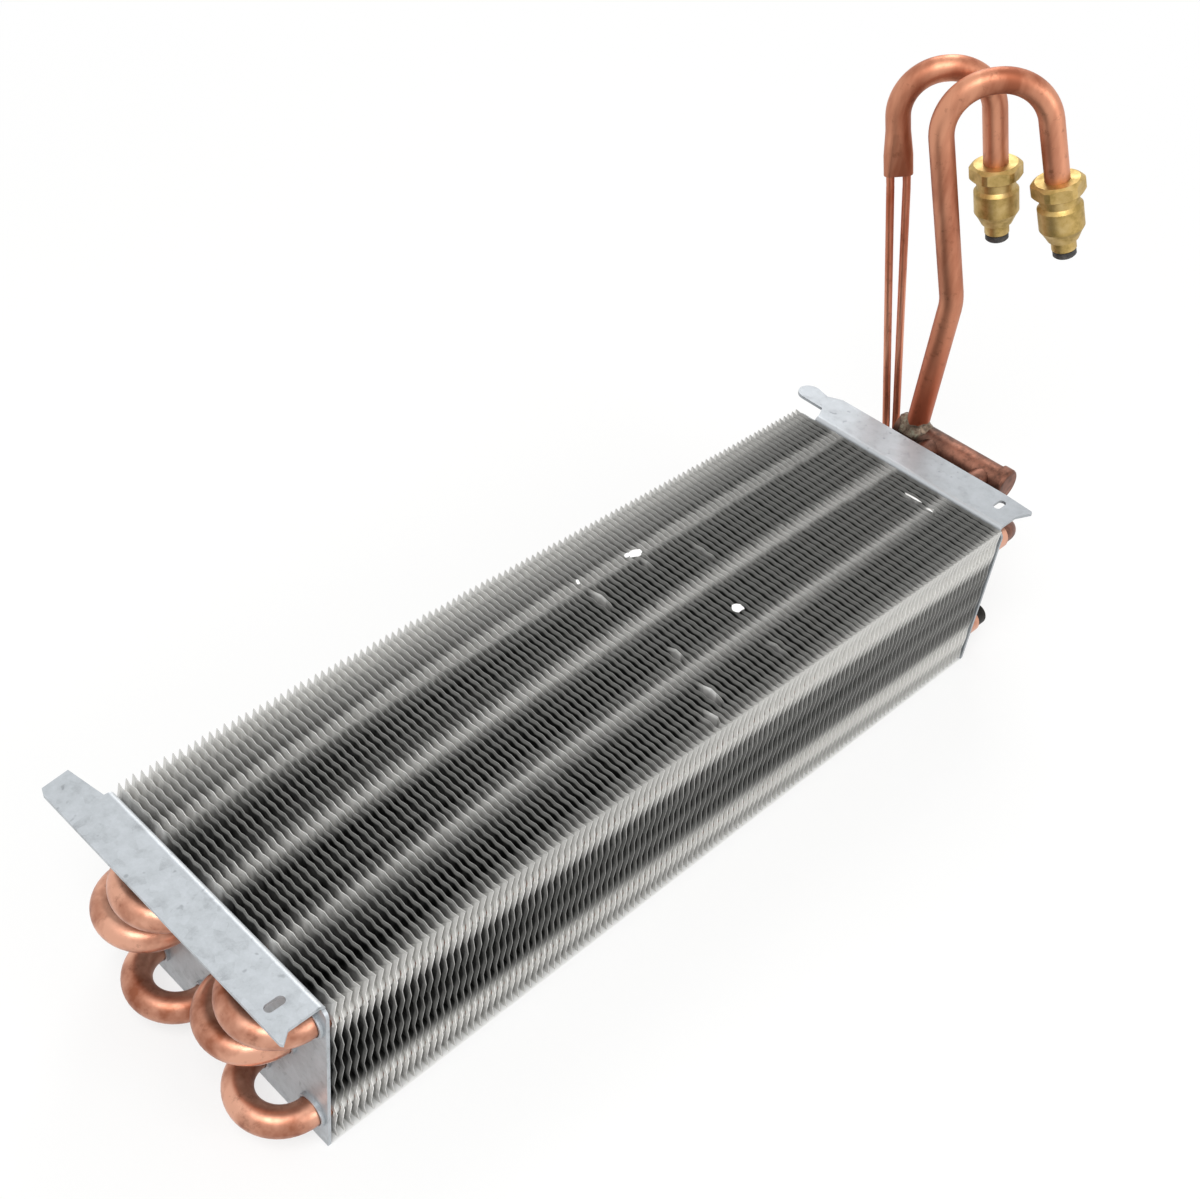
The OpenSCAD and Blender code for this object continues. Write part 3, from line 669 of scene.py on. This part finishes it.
def makeFins():
    tree = finTree()
    half = fins["count"] // 2
    shared = {key.capitalize(): fins[key]
              for key in ("pitch", "width", "height", "low", "wave", "ripple", "lean", "ragged")}
    for name, firstFin in (("finsFront", 0), ("finsRear", half)):
        own = {"Count": half, "Seed": fins["seed"] + firstFin,
               "Start": fins["start"] + firstFin * fins["pitch"]}
        piece = growPiece(name, tree, {**shared, **own}, thickness=fins["gauge"])
        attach(piece, "root")
        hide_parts("fin_pack")
        print(name, "has", len(piece.data.polygons), "faces")


makeFins()

collars = {"sides": 14, "rootR": 5.4 * mm, "lipR": 4.95 * mm, "length": 2.7 * mm}


def collarTree():
    # drawn collars that space the fins: one on every tube behind every fin
    tree, given = newTree("drawnCollars", {
        "Geometry": "Geometry", "Count": "Int", "Pitch": "Float", "Root radius": "Float",
        "Lip radius": "Float", "Length": "Float"})
    line = lineOf(tree, given["Count"], vectorOf(tree, X=given["Pitch"]))
    lines = instancesOf(tree, given["Geometry"], line)
    lines = addNode(tree, "GeometryNodeRealizeInstances", {"Geometry": lines}).outputs[0]
    cone = addNode(tree, "GeometryNodeMeshCone", {
        "Vertices": collars["sides"], "Radius Top": given["Lip radius"],
        "Radius Bottom": given["Root radius"], "Depth": given["Length"]}, fill_type="NONE")
    cone = addNode(tree, "GeometryNodeSetShadeSmooth", {"Geometry": cone.outputs[0]}).outputs[0]
    sleeve = addNode(tree, "GeometryNodeTransform", {
        "Geometry": cone, "Rotation": (0, math.pi / 2, 0)}).outputs[0]
    return closeTree(tree, instancesOf(tree, lines, sleeve))


def makeCollars():
    starts = []
    for row, shift in enumerate(coil["rowShifts"]):
        for i in range(coil["tubesPerRow"]):
            across = (coil["tubesPerRow"] / 2 - i - shift) * coil["tubePitch"]
            starts.append((fins["start"], across, coil["finLow"] + (row + 0.5) * coil["rowPitch"]))
    mesh = bpy.data.meshes.new("collarStarts")
    mesh.from_pydata(starts, [], [])
    piece = growPiece("finCollars", collarTree(), {
        "Count": fins["count"], "Pitch": fins["pitch"], "Root radius": collars["rootR"],
        "Lip radius": collars["lipR"], "Length": collars["length"]}, baseMesh=mesh)
    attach(piece, "root")
    print("finCollars has", len(piece.data.polygons), "faces")


makeCollars()


def joinLoops(mesh, lower, upper, smooth=False):
    # a band of faces between two loops with as many points
    for i in range(len(lower)):
        j = (i + 1) % len(lower)
        mesh.faces.new((lower[i], lower[j], upper[j], upper[i])).smooth = smooth


def closedPiece(name, mesh, material):
    # a closed mesh with all its faces outward, as a piece
    bmesh.ops.recalc_face_normals(mesh, faces=mesh.faces)
    data = bpy.data.meshes.new(name)
    mesh.to_mesh(data)
    mesh.free()
    return newObject(name, data, material)


tips = {
    # fin tips that were knocked flat: middle, half length along the coil, half width,
    # turn in degrees
    "places": [
        (39.5, 28.2, 2.9, 2.2, 10), (36.4, 29.4, 1.5, 1.0, 30), (46.1, -15.2, 2.6, 2.1, -15),
        (12.1, 30, 1.3, 0.8, 60), (149.7, -16.1, 0.45, 4.6, 2), (148.3, -25, 0.4, 1.7, 4),
    ],
    "low": 67.02 * mm,
    "loops": ((0.9, 0.0), (1.0, 0.12 * mm), (0.55, 0.4 * mm)),     # share of the size, rise
    "uneven": (0.7, 1.15),
    "sides": 10, "seed": 5,
}


def makeTips():
    # each is a crumpled scrap of foil, lying over the gaps between its neighbours
    chance = random.Random(tips["seed"])
    mesh = bmesh.new()
    bent = mesh.verts.layers.float.new("bent")
    for cx, cy, rx, ry, degrees in tips["places"]:
        turn = math.radians(degrees)
        loops = []
        for share, rise in tips["loops"]:
            loop = []
            for i in range(tips["sides"]):
                angle = 2 * math.pi * i / tips["sides"]
                reach = share * chance.uniform(*tips["uneven"]) * mm
                u, v = rx * reach * math.cos(angle), ry * reach * math.sin(angle)
                loop.append(mesh.verts.new((cx * mm + u * math.cos(turn) - v * math.sin(turn),
                                            cy * mm + u * math.sin(turn) + v * math.cos(turn),
                                            tips["low"] + rise)))
            loops.append(loop)
        for lower, upper in zip(loops, loops[1:]):
            joinLoops(mesh, lower, upper)
        mesh.faces.new(loops[-1])
        mesh.faces.new(loops[0][::-1])
    # bent at 1 gives these tips the foil's painted white highlight
    for vertex in mesh.verts:
        vertex[bent] = 1.0
    piece = closedPiece("foldedTips", mesh, foil)
    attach(piece, "root")
    print("folded tips have", len(piece.data.polygons), "faces")


makeTips()

fillet = {
    "foot": (201.4 * mm, 17.25 * mm), "headerZ": 56 * mm, "headerR": 6.35 * mm,
    "spread": 2.9 * mm,         # how far it flows out over the header
    "climb": 2.2 * mm,          # and up the tube
    "sides": 36, "rings": 7, "seed": 3,
    "ripples": (2, 3, 5, 8), "rippleSize": (0.04, 0.14),    # waves round the rim, their size
    "atTube": -0.05 * mm, "hidden": -0.3 * mm,      # seen and hidden rings, off the tube's skin
    "sunk": -0.1 * mm, "proud": 0.25 * mm,          # rim and other seen rings, off the header
    "core": -0.6 * mm,                              # last hidden ring, in the header's wall
    "widest": 6.3 * mm,                             # how far across the header it may reach
    "roundTo": 6.1 * mm, "lowestTop": 4.2 * mm,     # limits to how far it follows the round
}


def solderPoint(ring, angle, ripples):
    # seen rings flow from the header up to the tube, and two more are hidden inside it
    last = fillet["rings"] - 1
    uneven = 1 + sum(size * math.sin(n * angle + phase) for phase, size, n in ripples)
    t = min(ring / last, 1)
    if ring <= last:
        out = coil["tubeR"] + fillet["atTube"] + fillet["spread"] * uneven * (1 - t) ** 2
        rise = fillet["climb"] * uneven * t ** 2 + fillet["sunk" if ring == 0 else "proud"]
    else:
        out = coil["tubeR"] + fillet["hidden"]
        rise = fillet["climb"] + fillet["hidden"] if ring == last + 1 else fillet["core"]
    dx, dy = out * math.cos(angle), out * math.sin(angle)
    dx = max(-fillet["widest"], min(fillet["widest"], dx))
    top = math.sqrt(fillet["headerR"] ** 2 - min(abs(dx), fillet["roundTo"]) ** 2)
    if ring >= last:
        top = max(top, fillet["lowestTop"])
    x, y = fillet["foot"]
    return x + dx, y + dy, fillet["headerZ"] + top + rise


def makeSolder():
    # solder that flowed out round the foot of the suction tube: hollow in profile, uneven
    # at its rim, and closed by the hidden rings
    chance = random.Random(fillet["seed"])
    ripples = [(chance.uniform(0, 2 * math.pi), chance.uniform(*fillet["rippleSize"]), n)
               for n in fillet["ripples"]]
    mesh = bmesh.new()
    angles = [2 * math.pi * i / fillet["sides"] for i in range(fillet["sides"])]
    loops = [[mesh.verts.new(solderPoint(ring, angle, ripples)) for angle in angles]
             for ring in range(fillet["rings"] + 2)]
    for lower, upper in zip(loops, loops[1:] + loops[:1]):
        joinLoops(mesh, lower, upper, smooth=True)
    piece = closedPiece("solderFillet", mesh, solder)
    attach(piece, "root")
    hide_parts("suction_solder")
    print("solder fillet has", len(piece.data.polygons), "faces")


makeSolder()
